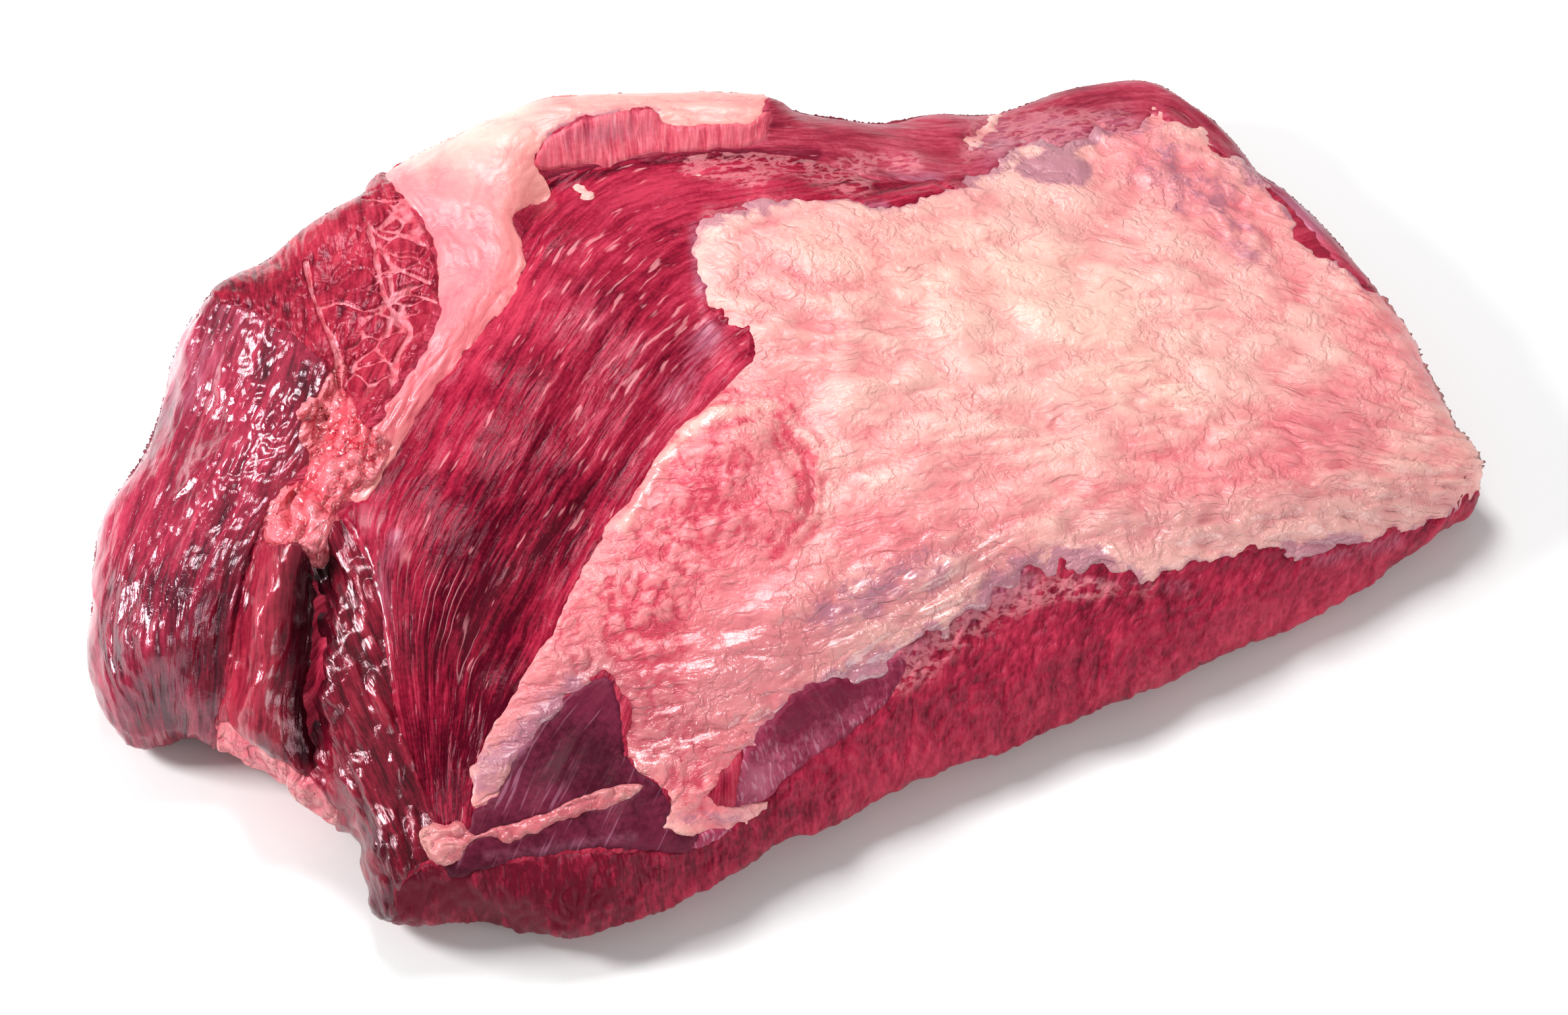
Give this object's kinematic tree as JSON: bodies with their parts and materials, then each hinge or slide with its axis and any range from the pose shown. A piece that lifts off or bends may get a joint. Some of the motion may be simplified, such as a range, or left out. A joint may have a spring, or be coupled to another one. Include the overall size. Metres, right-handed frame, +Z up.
{
  "type": "raw beef brisket",
  "caption": "Whole raw beef brisket, fat side up: a long flat slab of meat with a thick fat cap, tapering from a deep folded point end to a thin flat end.",
  "frame": {"origin": "under the middle of the outline, on the flat face it rests on", "axes": "+X along the length, from the thick point end to the thin flat end; +Y across, from the front edge to the back edge; +Z up, through the fat cap"},
  "size_m": [0.5028, 0.3284, 0.0899],
  "materials": {
    "raw_beef": "damp raw lean meat, dark crimson with fine fibres, glossy where wet",
    "beef_fat": "soft raw fat, cream to pink, wrinkled, with a faint damp shine"
  },
  "bodies": {
    "root": {"brisket": "raw_beef"}
  },
  "joints": []
}
